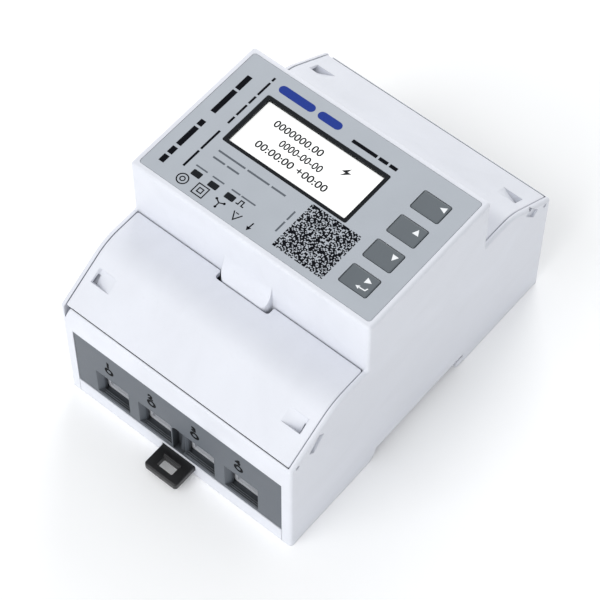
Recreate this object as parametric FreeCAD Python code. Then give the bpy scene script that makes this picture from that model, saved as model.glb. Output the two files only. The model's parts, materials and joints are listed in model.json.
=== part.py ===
import FreeCAD, Part
import math
import os

from FreeCAD import Vector

# A four-module DIN-rail electricity meter, lying on its back: +Z points out of the front panel, +Y to the
# panel's top, +X to its right. Millimetres. Heights below are measured from the back plane; every solid is
# lowered by SEAT_DEPTH when it is written, so that the origin is the centre of the DIN rail seat.

# overall envelope
WIDTH = 72.0
LENGTH = 100.0
DEPTH = 66.0
HALF_W = WIDTH / 2
HALF_L = LENGTH / 2
RAISED_HALF = 22.5  # half of the 45 mm window that a distribution board's cover plate leaves
SHOULDER_Z = 47.3
FOLD_Z = 37.3
BEND_Y = 33.8  # where the flat shoulder and the slope would meet
BEND_R = 14.0
SLOPE = math.degrees(math.atan2(SHOULDER_Z - FOLD_Z, HALF_L - BEND_Y))
EDGE_R = 0.9

# housing
WALL = 1.9
TOP_WALL = 2.0
INNER_X = HALF_W - WALL
END_WALL = 1.6
CENTRE_Y = RAISED_HALF - WALL  # half length of the electronics bay
BULKHEAD_Z = 22.0  # the bulkheads between the bays start here; the busbars pass below
FACE_X = 33.0  # half width of the opening for a terminal block
FACE_Z1 = 28.0
FACE_Y = -HALF_L + 0.15  # the terminal face lies a little inside the end wall
LABEL_X = 34.6
LABEL_Y = 21.0
LABEL_DEPTH = 0.4
FIT = 0.1  # gap between mating mouldings
OVER = 1.0  # how far a cutting tool reaches past the face it opens
ROOT = 0.2  # how far a post or a web runs into the wall it grows from

# DIN rail seat, for 35 mm top-hat rail
SEAT_DEPTH = 4.0
RAIL_LIP_Z = 3.0  # top of the fixed lip, one rail thickness below the seat
SEAT_Y0 = -17.4
SEAT_Y1 = 17.8
LIP_Y = 15.1
LIP_Z0 = 0.5
LIP_CHAMFER = 0.6
RECESS_END = 18.5

# back plate and rail clip
SHEET = 2.2
STRIP_Z = 5.2
HUMP_Y = 20.5
HUMP_Z = 6.2
CLIP_X = 5.2
CLIP_Z0 = 2.35
CLIP_Z1 = 4.35
CLIP_END = -57.2
CLIP_NOSE = -15.2
CLIP_RIB_X = 3.1
CLIP_RIB_Z0 = 0.5
CLIP_CORNER_R = 0.9
TAB_SLOT_Y = -54.0
TAB_SLOT_W = 4.9
TAB_SLOT_H = 2.8
CHANNEL_GAP = 0.15
GUIDE_WALL = 1.8
SPRING_Z = 2.9
SPRING_R = 1.15
SPRING_WIRE = 0.25
SPRING_END = -43.2
SPRING_SEAT = -31.0
SPRING_TURNS = 7

# terminal covers
COVER_T = 1.6
COVER_X = 34.6
COVER_TOP_Y = -22.75  # 0.25 mm clear of the raised wall
COVER_SEAT_X = 34.8  # half width of the rebate in the side walls that a cover lies in
COVER_SEAT_T = 1.75
COVER_SEAT_END = 48.4  # the rebate ends here, over the hinge, in the hinge's relief
HINGE_Y = 47.6
HINGE_Z = 37.05
HINGE_RELIEF = 1.9
PIN_R = 0.6
PIN_GAP = 0.05
KNUCKLE_R = 1.1
COVER_END_Y = 49.3
BOSS_X = 7.3
BOSS_OUT = 2.4
BOSS_RISE = 5.4  # height over the shoulder at which the boss meets the raised wall
BOSS_BLEND_R = 12.0
BOSS_CORNER_R = 1.7
NOTCH_X = 8.2
NOTCH_Y = 25.2
PRY_NOTCH_W = 2.1
PRY_NOTCH_Z0 = 32.6
SEAL_V = 40.85  # distance of the sealing pockets from the middle of the meter
SEAL_X0 = 26.7
SEAL_X1 = 32.4
PAD_T = 3.4
PAD_X = 33.85
POCKET_HALF = 2.0
POCKET_LOW = 2.1  # depth of a sealing pocket in its outermost corner
POCKET_HIGH = 0.7  # and at the upper end of its outer side
POCKET_BEVEL = 0.6  # width of the bevel that its outer side slopes down in
LOWER_SEAL_SLOT = (40.85, 39.1)  # distance from the middle, and height
UPPER_SEAL_SLOT = (41.8, 40.2)
SEAL_SLOT_LENGTH = 5.6
SEAL_SLOT_WIDTH = 2.3
SEAL_SLOT_DEPTH = 0.7
SEAL_SLOT_TILT = 50.0

# main clamps: a captive screw draws a steel cage up against the busbar
CLAMP_PITCH = 13.8
CLAMP_X = [(i - 1.5) * CLAMP_PITCH for i in range(4)]
LOWER_SCREW_Y = 42.5
UPPER_SCREW_Y = 40.0
ENTRY_X = 4.8
ENTRY_Z0 = 6.4
ENTRY_Z1 = 16.4
SILL_RIDGE_PITCH = 0.5
SILL_RIDGE_WIDTH = 0.25
SILL_RIDGE_HEIGHT = 0.25
SILL_END = -48.4  # the ridged sill of an entry drops to the chamber's floor here
BLADE_X = -0.1  # middle of the arched recess for the blade that levers the clip
BLADE_HALF = 1.65
BLADE_TOP = 16.7
BLADE_BACK = -47.7
BLOCK_Z0 = 5.4
BLOCK_Z1 = 33.0
BLOCK_BACK_Y = 24.0
CAVITY_X = 5.5
CAVITY_Y = 5.0
CAVITY_Z0 = 6.0
CAVITY_Z1 = 28.4
CAGE_X = 5.2
CAGE_Y = 4.5
CAGE_Z0 = 6.1
CAGE_Z1 = 21.0
CAGE_WALL = 1.1
CAGE_FLOOR = 0.9
CAGE_NUT = 2.4
BAR_Z0 = 15.6
BAR_Z1 = 17.6
BAR_X = 3.8
BAR_WAIST_X = 2.5
SCREW_R = 2.45
HEAD_R = 3.4
HEAD_Z0 = 29.7
HEAD_Z1 = 32.7
WELL_R = 3.7

# auxiliary terminals for the bus and the pulse outputs
AUX_PITCH = 5.08
AUX_COUNT = 6
AUX_X = [(i - (AUX_COUNT - 1) / 2) * AUX_PITCH for i in range(AUX_COUNT)]
AUX_HALF = 15.7
AUX_Y0 = 44.1
AUX_Z0 = 28.5
AUX_Z1 = 34.4
AUX_SCREW_Y = 46.5

# front panel: display, keys and indicators
SCREEN_X = -5.2
SCREEN_Y = 4.9
SCREEN_W = 35.3
SCREEN_H = 15.2
BEZEL_W = 37.3
BEZEL_H = 17.0
BEZEL_FLANGE = 1.6
KEY_X = 25.9
KEY_Y = [-0.55 + (1.5 - i) * 8.75 for i in range(4)]
KEY_W = 7.9
KEY_H = 5.8
KEY_CORNER_R = 0.45
KEY_GAP = 0.2
LAMP_XY = [(-21.8, -15.0), (-16.7, -15.0), (-11.6, -15.0)]
LAMP_W = 2.6
LAMP_H = 1.7
LAMP_GAP = 0.05
SHELF_Z = DEPTH - TOP_WALL - 0.05  # highest place for a flange that bears on the panel from inside
TACT_Z = 1.5  # height of a key switch's body over its board
PLUNGER_Z = 2.2
PLUNGER_R = 1.6

# circuit boards
PANEL_BOARD_Z = 58.6
MAIN_BOARD_Z = 40.0
BOARD_T = 1.6
BOARD_X = 33.4
BOARD_Y = 20.0
STACK_SPOTS = [(-31.0, -17.4), (-31.0, 17.4), (17.6, -17.2), (17.6, 17.2)]  # clear of the keys' flanges
STACK_SCREW_R = 1.2
CASE_SCREW_R = 1.4
CASE_SCREW_X = 31.0
CASE_SCREW_Y = 25.2
CASE_SCREW_SEAT = 2.0
CASE_SCREW_SPOTS = [(sx * CASE_SCREW_X, sy * CASE_SCREW_Y) for sx in (-1, 1) for sy in (-1, 1)]
HEADER_X = 3.0
TAP_Y = 19.0
CT_R = 9.4
CT_BORE = 4.6
CT_LENGTH = 9.0
CT_Y = (-12.5, 0.0, 12.5)
CORE_X = -20.0
CORE_Y = 2.0
# each capacitor's x, y, radius and height; each chip's x, y, width and length
CAN_SPOTS = [(2, 11, 4.0, 13.0), (11, 11, 4.0, 13.0), (-4, 2, 3.0, 9.0), (3, 1, 2.5, 8.0)]
CHIP_SPOTS = [(12, -2, 10, 10), (0, -10, 8, 6), (24, 0, 7, 5), (24, 12, 5, 4)]
CHIP_T = 1.4
CELL_X = 21.0
CELL_Y = -10.0
CELL_R = 5.0
CELL_T = 2.5
HEADER_Y = -17.0
HEADER_PINS = 8
HEADER_PITCH = 2.54


def point(plane, a, b, height):
    """The point with coordinates (a, b) in a named plane and the given height above it."""
    if plane == "yz":
        return Vector(height, a, b)
    if plane == "xz":
        return Vector(a, height, b)
    return Vector(a, b, height)


def outline(plane, corners, height):
    """A closed wire through corners (a, b) or (a, b, radius); a corner with a radius becomes an arc."""
    spots = [point(plane, c[0], c[1], height) for c in corners]
    radii = [c[2] if len(c) > 2 else 0.0 for c in corners]
    starts, ends, arcs = [], [], []
    for i, spot in enumerate(spots):
        back = (spots[i - 1] - spot).normalize()
        ahead = (spots[(i + 1) % len(spots)] - spot).normalize()
        half = back.getAngle(ahead) / 2
        reach = radii[i] / math.tan(half)
        starts.append(spot + back * reach)
        ends.append(spot + ahead * reach)
        if radii[i]:
            middle = (back + ahead).normalize()
            tip = spot + middle * (radii[i] / math.sin(half) - radii[i])
            arcs.append(Part.Arc(starts[i], tip, ends[i]).toShape())
        else:
            arcs.append(None)
    edges = []
    for i, arc in enumerate(arcs):
        if arc:
            edges.append(arc)
        nxt = (i + 1) % len(spots)
        if (starts[nxt] - ends[i]).Length > 1e-6:
            edges.append(Part.LineSegment(ends[i], starts[nxt]).toShape())
    return Part.Wire(edges)


def prism(plane, corners, start, end):
    """An outline in a plane, extruded along the plane's normal from start to end."""
    face = Part.Face(outline(plane, corners, start))
    return face.extrude(point(plane, 0, 0, end) - point(plane, 0, 0, start))


def box(x0, x1, y0, y1, z0, z1):
    return Part.makeBox(x1 - x0, y1 - y0, z1 - z0, Vector(x0, y0, z0))


def slab(cx, cy, width, length, z0, z1, radius):
    """A flat block about (cx, cy) with rounded corners, from z0 to z1."""
    a, b = width / 2, length / 2
    corners = [(cx - a, cy - b), (cx + a, cy - b), (cx + a, cy + b), (cx - a, cy + b)]
    return prism("xy", [(x, y, radius) for x, y in corners], z0, z1)


def rod_x(y, z, radius, x0, x1):
    return Part.makeCylinder(radius, x1 - x0, Vector(x0, y, z), Vector(1, 0, 0))


def rod_y(x, z, radius, y0, y1):
    return Part.makeCylinder(radius, y1 - y0, Vector(x, y0, z), Vector(0, 1, 0))


def rod_z(x, y, radius, z0, z1):
    return Part.makeCylinder(radius, z1 - z0, Vector(x, y, z0))


def fuse(shapes):
    shapes = list(shapes)
    return shapes[0].multiFuse(shapes[1:]).removeSplitter() if len(shapes) > 1 else shapes[0]


def cut(shape, tools):
    return shape.cut(Part.makeCompound(list(tools)))


def flip_y(shape):
    """The mirror image across the plane y = 0, for the pieces at the panel's top end."""
    return shape.mirror(Vector(0, 0, 0), Vector(0, 1, 0))


def fillet_if(shape, radius, wanted):
    """Rounds the edges whose box centre and size satisfy wanted(centre, box)."""
    edges = [e for e in shape.Edges if wanted(e.BoundBox.Center, e.BoundBox)]
    return shape.makeFillet(radius, edges) if edges else shape


def surface_z(y):
    """Height of the sloping shoulder at a distance y from the middle."""
    return FOLD_Z + (HALF_L - abs(y)) * math.tan(math.radians(SLOPE))


def on_slope(shape):
    """Moves a shape from its own frame (x, up the slope, outward) to the sealing point of the lower cover."""
    shape.rotate(Vector(0, 0, 0), Vector(1, 0, 0), SLOPE)
    shape.translate(Vector(0, -SEAL_V, surface_z(SEAL_V)))
    return shape


def shoulder_line(end, top, depth):
    """The side view of a layer at some depth under the lower shoulder's surface, from its outer end up."""
    slope = math.radians(SLOPE)
    foot = (-end + depth * math.sin(slope), surface_z(end) - depth * math.cos(slope))
    bend = (-BEND_Y + depth * math.tan(slope / 2), SHOULDER_Z - depth, BEND_R - depth)
    return [foot, bend, (top, SHOULDER_Z - depth)]


def both_sides(make):
    """A shape and its mirror image across x = 0."""
    shape = make()
    return [shape, shape.mirror(Vector(0, 0, 0), Vector(1, 0, 0))]


def side_profile():
    """Half of the side view's outline, from the back plane at -Y up to the panel."""
    return [
        (-HALF_L, 0),
        (-HALF_L, FOLD_Z, EDGE_R),
        (-BEND_Y, SHOULDER_Z, BEND_R),
        (-RAISED_HALF, SHOULDER_Z, 0.3),
        (-RAISED_HALF, DEPTH, EDGE_R),
    ]


def mirrored(corners):
    """The corners followed by their mirror images, so that they close a symmetric outline."""
    return corners + [(-c[0],) + tuple(c[1:]) for c in reversed(corners)]


def rail_recess():
    """The slot that a 35 mm rail lies in: a chamfered clip end, a seat and a fixed lip with a gap over it."""
    flare = [(SEAT_Y0 - 2.2, -OVER), (SEAT_Y0 - 1.9, 0.6), (SEAT_Y0 - 0.5, 1.7)]
    seat = [(SEAT_Y0, SEAT_DEPTH), (SEAT_Y1, SEAT_DEPTH), (SEAT_Y1, RAIL_LIP_Z)]
    lip = [(LIP_Y, RAIL_LIP_Z), (LIP_Y, LIP_Z0 + LIP_CHAMFER), (LIP_Y + LIP_CHAMFER, LIP_Z0)]
    end = [(RECESS_END, LIP_Z0), (RECESS_END, -OVER)]
    return prism("yz", flare + seat + lip + end, -HALF_W - OVER, HALF_W + OVER)


def latch_boss():
    """The wedge that swells out of the raised wall, which the cover's notch closes round."""
    meet = SHOULDER_Z + BOSS_RISE
    foot = SHOULDER_Z - 2.2
    inside = -RAISED_HALF + 0.5
    face = -RAISED_HALF - BOSS_OUT
    side = [
        (inside, meet + 4),
        (-RAISED_HALF, meet + 4),
        (-RAISED_HALF, meet, BOSS_BLEND_R),
        (face, SHOULDER_Z + 0.4, 1.4),
        (face, foot),
        (inside, foot),
    ]
    wedge = prism("yz", side, -BOSS_X, BOSS_X)
    a, r = BOSS_X, BOSS_CORNER_R
    plan = [(-a, inside), (-a, face, r), (a, face, r), (a, inside)]
    return wedge.common(prism("xy", plan, foot, meet + 4))


def end_cavity():
    """Everything cut out of the housing at the lower end: the bay, its face opening and the cover's seat."""
    bay = box(-INNER_X, INNER_X, -HALF_L + END_WALL, -RAISED_HALF, -OVER, DEPTH + OVER)
    passage = box(-INNER_X, INNER_X, -RAISED_HALF - OVER, -CENTRE_Y + OVER, -OVER, BULKHEAD_Z)
    face = box(-FACE_X, FACE_X, -HALF_L - OVER, -HALF_L + END_WALL + OVER, -OVER, FACE_Z1)
    relief = rod_x(-HINGE_Y, HINGE_Z, HINGE_RELIEF, -COVER_SEAT_X, COVER_SEAT_X)
    pivots = rod_x(-HINGE_Y, HINGE_Z, PIN_R + PIN_GAP, -HALF_W - OVER, HALF_W + OVER)
    return [bay, passage, face, relief, cover_seat(), pry_notch(), pivots]


def cover_seat():
    """The rebate in the side walls that the cover's edges lie in."""
    above = shoulder_line(COVER_SEAT_END, -RAISED_HALF, -OVER)
    floor = shoulder_line(COVER_SEAT_END, -RAISED_HALF, COVER_SEAT_T)
    return prism("yz", above + floor[::-1], -COVER_SEAT_X, COVER_SEAT_X)


def pry_notch():
    """The notch beside the cover's left corner, where a fingernail lifts it."""
    top = FOLD_Z + 1.2
    side = -COVER_SEAT_X
    corners = [(side, top), (side, PRY_NOTCH_Z0), (side + PRY_NOTCH_W, top)]
    return prism("xz", corners, -HALF_L - OVER, -HALF_L + END_WALL + OVER)


def seal_slots(distance, height):
    """An oblique recess in each side wall, and the hole in it that a seal wire leaves through."""
    def one():
        a, b, r = SEAL_SLOT_LENGTH / 2, SEAL_SLOT_WIDTH / 2, SEAL_SLOT_WIDTH / 6
        corners = [(-a, -b, r), (a, -b, r), (a, b, r), (-a, b, r)]
        recess = prism("yz", corners, HALF_W - SEAL_SLOT_DEPTH, HALF_W + OVER)
        hole = box(INNER_X - OVER, HALF_W, -0.4, 1.6, 0, b)
        slot = fuse([recess, hole])
        slot.rotate(Vector(0, 0, 0), Vector(1, 0, 0), SEAL_SLOT_TILT)
        slot.translate(Vector(0, -distance, height))
        return slot

    return both_sides(one)


def panel_openings(z0):
    """Tools, from a height up, for the openings of the display, the keys and the indicators."""
    z1 = DEPTH + OVER
    screen = slab(SCREEN_X, SCREEN_Y, BEZEL_W + 2 * FIT, BEZEL_H + 2 * FIT, z0, z1, 0.6)
    width, length, radius = KEY_W + 2 * KEY_GAP, KEY_H + 2 * KEY_GAP, KEY_CORNER_R + KEY_GAP
    keys = [slab(KEY_X, y, width, length, z0, z1, radius) for y in KEY_Y]
    lamps = [slab(x, y, LAMP_W + 2 * LAMP_GAP, LAMP_H + 2 * LAMP_GAP, z0, z1, 0.3) for x, y in LAMP_XY]
    return [screen] + keys + lamps


def main_case():
    """The outer shell: side walls, end walls, raised centre and panel, open at the back."""
    shell = prism("yz", mirrored(side_profile()), -HALF_W, HALF_W)
    shell = fillet_if(shell, EDGE_R, lambda centre, size: size.XLength < 1e-3 and centre.z > 1e-3)
    centre = box(-INNER_X, INNER_X, -CENTRE_Y, CENTRE_Y, -OVER, DEPTH - TOP_WALL)
    label = slab(0, 0, 2 * LABEL_X, 2 * LABEL_Y, DEPTH - LABEL_DEPTH, DEPTH + OVER, 0.8)
    aux = box(-AUX_HALF, AUX_HALF, HALF_L - END_WALL - OVER, HALF_L + OVER, AUX_Z0 - 0.6, AUX_Z1 + FIT)
    tools = [centre, label, rail_recess(), aux] + panel_openings(DEPTH - TOP_WALL - OVER)
    for tool in end_cavity():
        tools += [tool, flip_y(tool)]
    tools += seal_slots(*LOWER_SEAL_SLOT)
    tools += [flip_y(slot) for slot in seal_slots(*UPPER_SEAL_SLOT)]
    return fuse([cut(shell, tools), latch_boss(), flip_y(latch_boss())] + stack_posts() + corner_posts())


def stack_posts():
    """Posts under the panel that hold the stack of circuit boards."""
    ceiling = DEPTH - TOP_WALL
    posts = []
    for x, y in STACK_SPOTS:
        post = rod_z(x, y, 2.5, PANEL_BOARD_Z + BOARD_T, ceiling + ROOT)
        posts.append(post.cut(rod_z(x, y, STACK_SCREW_R + 0.05, 0, ceiling - 0.4)))
    return posts


def corner_posts():
    """Posts in the corners of the bay that take the back plate's screws, webbed to the walls."""
    foot = SHEET + 1.3
    top = BULKHEAD_Z + 6
    posts = []
    for x, y in CASE_SCREW_SPOTS:
        side, end = math.copysign(1, x), math.copysign(1, y)
        post = rod_z(x, y, 2.7, foot, top)
        web = box(*sorted((x, side * (INNER_X + ROOT))), y - 1, y + 1, foot, top)
        rib = box(x - 1, x + 1, *sorted((y, end * (RAISED_HALF - ROOT))), BULKHEAD_Z, top)
        posts.append(fuse([post, web, rib]).cut(rod_z(x, y, CASE_SCREW_R + 0.05, 0, foot + 12)))
    return posts


def back_plate():
    """The rear moulding: it closes the back, seats the rail, holds the fixed lip and guides the clip."""
    half = INNER_X - 0.2
    end = HALF_L - END_WALL
    sheet = box(-half, half, -end + FIT, end - FIT, 0, SHEET)
    hump = box(-half, half, -HUMP_Y, HUMP_Y, 0, HUMP_Z)
    guide = box(-CLIP_X - GUIDE_WALL, CLIP_X + GUIDE_WALL, -HALF_L, SEAT_Y0, 0, STRIP_Z)
    tools = [rail_recess()] + clip_channel()
    bosses = []
    for x, y in CASE_SCREW_SPOTS:
        bosses.append(rod_z(x, y, 3.0, 0, SHEET + 1.2).common(box(-half, half, -end, end, 0, HUMP_Z)))
        tools.append(rod_z(x, y, 2.75, -OVER, CASE_SCREW_SEAT))
        tools.append(rod_z(x, y, CASE_SCREW_R + 0.2, -OVER, HUMP_Z))
    plate = cut(fuse([sheet, end_strips(), hump, guide] + bosses), tools)
    stop = box(-1.5, 1.5, SPRING_END - 1.6, SPRING_END - SPRING_WIRE, 1.2, CLIP_Z1 + 0.3)
    return plate.fuse(stop).removeSplitter()


def end_strips():
    """The strips under the terminal faces, flush with the ends of the housing."""
    inner = HALF_L - END_WALL - 0.4
    full = box(-FACE_X + FIT, FACE_X - FIT, -HALF_L, HALF_L, 0, STRIP_Z)
    return full.cut(box(-FACE_X, FACE_X, -inner, inner, -OVER, STRIP_Z + OVER))


def clip_channel():
    """The T-shaped channel that the clip slides in."""
    end = SEAT_Y0 + 0.5
    wide = CLIP_X + CHANNEL_GAP
    narrow = CLIP_RIB_X + CHANNEL_GAP
    tongue = box(-wide, wide, -HALF_L - OVER, end, CLIP_Z0 - CHANNEL_GAP, CLIP_Z1 + CHANNEL_GAP)
    return [tongue, box(-narrow, narrow, -HALF_L - OVER, end, -OVER, CLIP_Z0)]


def din_clip():
    """The sliding rail clip: a flat tongue with a pull tab, a rib and a nose that grips the rail."""
    end = SEAT_Y0 - 0.5
    a, r = CLIP_X, CLIP_CORNER_R
    tongue = prism("xy", [(-a, CLIP_END, r), (a, CLIP_END, r), (a, end), (-a, end)], CLIP_Z0, CLIP_Z1)

    def tab_rim(centre, size):
        return centre.y < -HALF_L and abs(centre.z - CLIP_Z1) < 1e-3 and size.ZLength < 1e-3

    tongue = fillet_if(tongue, 0.45, tab_rim)
    rib = box(-CLIP_RIB_X, CLIP_RIB_X, -HALF_L + 0.5, end, CLIP_RIB_Z0, CLIP_Z0)
    chamfer = 1.4
    front = [(CLIP_NOSE - chamfer, CLIP_RIB_Z0), (CLIP_NOSE, CLIP_RIB_Z0 + chamfer), (CLIP_NOSE, 2.9, 0.2)]
    nose = prism("yz", [(end - 2, CLIP_RIB_Z0)] + front + [(end - 2, 2.9)], -CLIP_RIB_X, CLIP_RIB_X)
    window = box(-1.9, 1.9, SPRING_END - 2.0, SPRING_SEAT, -OVER, CLIP_Z1 + OVER)
    tab_slot = slab(0, TAB_SLOT_Y, TAB_SLOT_W, TAB_SLOT_H, -OVER, CLIP_Z1 + 2 * OVER, 0.35)
    return cut(fuse([tongue, rib, nose, tab_bead()]), [window, tab_slot])


def tab_bead():
    """The bead along the tab's slot that a screwdriver bears on."""
    start = TAB_SLOT_Y + TAB_SLOT_H / 2 + 0.1
    low, high = CLIP_Z1 - 0.1, CLIP_Z1 + 0.45
    side = [(start, low), (start + 0.2, high, 0.15), (start + 0.6, high, 0.15), (start + 0.8, low)]
    return prism("yz", side, -TAB_SLOT_W / 2 - 0.3, TAB_SLOT_W / 2 + 0.3)


def clip_spring():
    """The compression spring that holds the clip against the rail."""
    play = 0.05
    length = SPRING_SEAT - SPRING_END - 2 * (SPRING_WIRE + play)
    helix = Part.makeHelix(length / SPRING_TURNS, length, SPRING_R)
    circle = Part.Wire(Part.makeCircle(SPRING_WIRE, Vector(SPRING_R, 0, 0), Vector(0, 1, 0)))
    spring = Part.Wire(helix).makePipeShell([circle], True, True)
    spring.rotate(Vector(0, 0, 0), Vector(1, 0, 0), -90)
    spring.translate(Vector(0, SPRING_END + SPRING_WIRE + play, SPRING_Z))
    return spring


def clamp_cavities(screw_y):
    """The four clamp chambers of a block, with their cable entries, busbar slots and screw wells."""
    tools = []
    bar = BAR_X + FIT
    for x in CLAMP_X:
        front, back = -screw_y - CAVITY_Y, -screw_y + CAVITY_Y
        chamber = box(x - CAVITY_X, x + CAVITY_X, front, back, CAVITY_Z0, CAVITY_Z1)
        drop = box(x - ENTRY_X, x + ENTRY_X, SILL_END, front + OVER, CAVITY_Z0, ENTRY_Z0 + OVER)
        bar_slot = box(x - bar, x + bar, -screw_y, -BLOCK_BACK_Y + OVER, BAR_Z0, BAR_Z1)
        shank_hole = rod_z(x, -screw_y, SCREW_R + FIT, CAVITY_Z1 - OVER, HEAD_Z0 + OVER)
        well = rod_z(x, -screw_y, WELL_R, HEAD_Z0 - 0.05, BLOCK_Z1 + OVER)
        tools += [chamber, drop, bar_slot, shank_hole, well] + cable_entry(x, screw_y)
    return tools


def cable_entry(x, screw_y):
    """The mouth of one clamp in the block's face, its left reveal splayed to lead a cable in."""
    mouth = slab(x, 0, 2 * ENTRY_X, ENTRY_Z1 - ENTRY_Z0, 0, HALF_L - screw_y, 0.5)
    mouth.rotate(Vector(0, 0, 0), Vector(1, 0, 0), 90)
    mouth.translate(Vector(0, -screw_y, (ENTRY_Z0 + ENTRY_Z1) / 2))
    front, edge = -HALF_L - 0.2, x - ENTRY_X + 0.01
    splay = prism("xy", [(edge - 1.3, front), (edge, front), (edge, front + 1.85)], ENTRY_Z0 + 0.3, ENTRY_Z1)
    return [mouth, splay]


def sill_ridges():
    """Three fine ridges across the sill of each cable entry."""
    rows = [FACE_Y + 0.2 + i * SILL_RIDGE_PITCH for i in range(3)]
    half = ENTRY_X + ROOT
    z0, z1 = ENTRY_Z0 - ROOT, ENTRY_Z0 + SILL_RIDGE_HEIGHT
    return [box(x - half, x + half, y, y + SILL_RIDGE_WIDTH, z0, z1) for x in CLAMP_X for y in rows]


def terminal_block(screw_y):
    """A dark moulding that fills one end below the cover and houses four clamps."""
    front = -HALF_L + END_WALL + FIT
    face = box(-FACE_X + FIT, FACE_X - FIT, FACE_Y, front, BLOCK_Z0, FACE_Z1 - FIT)
    body = box(-INNER_X + FIT, INNER_X - FIT, front, -BLOCK_BACK_Y, BLOCK_Z0, BLOCK_Z1)
    feet = both_sides(lambda: box(22, 27, -45, -31, SHEET + 0.05, BLOCK_Z0))
    corner_y = -CASE_SCREW_Y - 3.1
    corners = both_sides(lambda: box(27.9, HALF_W, corner_y, -BLOCK_BACK_Y + OVER, 0, BLOCK_Z1 + OVER))
    block = cut(fuse([face, body] + feet), clamp_cavities(screw_y) + corners)
    return fuse([block] + sill_ridges())


def blade_recess():
    """The arched recess between the middle entries, with a tapered rib in it."""
    floor = BLOCK_Z0 + 0.3
    spring = BLADE_TOP - BLADE_HALF
    x0, x1 = BLADE_X - BLADE_HALF, BLADE_X + BLADE_HALF
    straight = box(x0, x1, -HALF_L - OVER, BLADE_BACK, floor, spring)
    arch = rod_y(BLADE_X, spring, BLADE_HALF, -HALF_L - OVER, BLADE_BACK)
    rib = Part.makeCone(1.25, 0.3, BLADE_TOP - 1.6 - floor, Vector(BLADE_X + 0.35, BLADE_BACK + 0.2, floor))
    return fuse([straight, arch]).cut(rib)


def lower_terminal_block():
    """The incoming side's block, with a recess in its face for the blade that levers the clip."""
    return terminal_block(LOWER_SCREW_Y).cut(blade_recess())


def upper_terminal_block():
    """The outgoing side's block, stepped down at its outer edge to carry the auxiliary terminals."""
    step = box(-HALF_W, HALF_W, -HALF_L - OVER, -AUX_Y0 + FIT, CAVITY_Z1 + 0.05, BLOCK_Z1 + OVER)
    return flip_y(terminal_block(UPPER_SCREW_Y).cut(step))


def aux_terminal_block():
    """The small six-pole block above the outgoing terminals."""
    block = box(-AUX_HALF + FIT, AUX_HALF - FIT, AUX_Y0, -FACE_Y, AUX_Z0, AUX_Z1)
    tools = []
    for x in AUX_X:
        tools.append(box(x - 1.3, x + 1.3, AUX_Y0 + 0.8, HALF_L + OVER, AUX_Z0 + 0.7, AUX_Z0 + 3.5))
        tools.append(rod_z(x, AUX_SCREW_Y, 1.45, AUX_Z0 + 3, AUX_Z1 + OVER))
    return cut(block, tools)


def slotted_head(x, y, radius, z0, z1, slot, depth):
    """A round screw head with a straight and a crossing slot."""
    head = rod_z(x, y, radius, z0, z1)

    def rim(centre, size):
        return abs(centre.z - z1) < 1e-3 and size.ZLength < 1e-3

    head = fillet_if(head, min(0.5, (z1 - z0) / 4), rim)
    short = radius * 0.62
    across = box(x - radius, x + radius, y - slot / 2, y + slot / 2, z1 - depth, z1 + OVER)
    along = box(x - slot / 2, x + slot / 2, y - short, y + short, z1 - depth, z1 + OVER)
    return cut(head, [across, along])


def aux_screws():
    shank_z0, head_z0, head_z1 = AUX_Z0 + 2.15, AUX_Z0 + 4.5, AUX_Z0 + 5.7
    screws = []
    for x in AUX_X:
        head = slotted_head(x, AUX_SCREW_Y, 1.35, head_z0, head_z1, 0.5, 0.7)
        screws.append(fuse([head, rod_z(x, AUX_SCREW_Y, 0.95, shank_z0, head_z0)]))
    return screws


def aux_clamps():
    """A small brass clamp under each auxiliary screw."""
    clamps = []
    for x in AUX_X:
        body = box(x - 1.25, x + 1.25, AUX_Y0 + 0.9, AUX_SCREW_Y + 1.2, AUX_Z0 + 0.75, AUX_Z0 + 3.45)
        mouth = box(x - 0.95, x + 0.95, AUX_Y0 + 0.5, AUX_SCREW_Y + 2, AUX_Z0 + 1.05, AUX_Z0 + 2.1)
        clamps.append(cut(body, [mouth, rod_z(x, AUX_SCREW_Y, 1.0, AUX_Z0 + 2, AUX_Z1)]))
    return clamps


def clamp_screw(x, y):
    """A captive main clamp screw, its tip just above the busbar."""
    shank = rod_z(x, y, SCREW_R, BAR_Z1 + 0.05, HEAD_Z0 + 0.1)
    shank = shank.makeChamfer(0.4, [e for e in shank.Edges if e.BoundBox.Center.z < BAR_Z1 + 0.1])
    return shank.fuse(slotted_head(x, y, HEAD_R, HEAD_Z0, HEAD_Z1, 1.0, 1.6)).removeSplitter()


def clamp_cage(x, y):
    """The rising cage: a steel loop round the cable and the busbar, its top tapped for the screw."""
    a, r = CAGE_X, 0.8
    corners = [(x - a, CAGE_Z0, r), (x + a, CAGE_Z0, r), (x + a, CAGE_Z1, r), (x - a, CAGE_Z1, r)]
    loop = prism("xz", corners, y - CAGE_Y, y + CAGE_Y)
    inner = CAGE_X - CAGE_WALL
    floor, ceiling = CAGE_Z0 + CAGE_FLOOR, CAGE_Z1 - CAGE_NUT
    opening = [(x - inner, floor, 0.4), (x + inner, floor, 0.4), (x + inner, ceiling), (x - inner, ceiling)]
    window = prism("xz", opening, y - CAGE_Y - OVER, y + CAGE_Y + OVER)
    tapping = rod_z(x, y, SCREW_R + 0.05, ceiling - OVER, CAGE_Z1 + OVER)
    grip_spots = (y - 3, y, y + 3)
    grips = [box(x - inner, x + inner, at - 0.3, at + 0.3, floor - 0.3, floor + 0.25) for at in grip_spots]
    return fuse([cut(loop, [window, tapping])] + grips)


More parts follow.
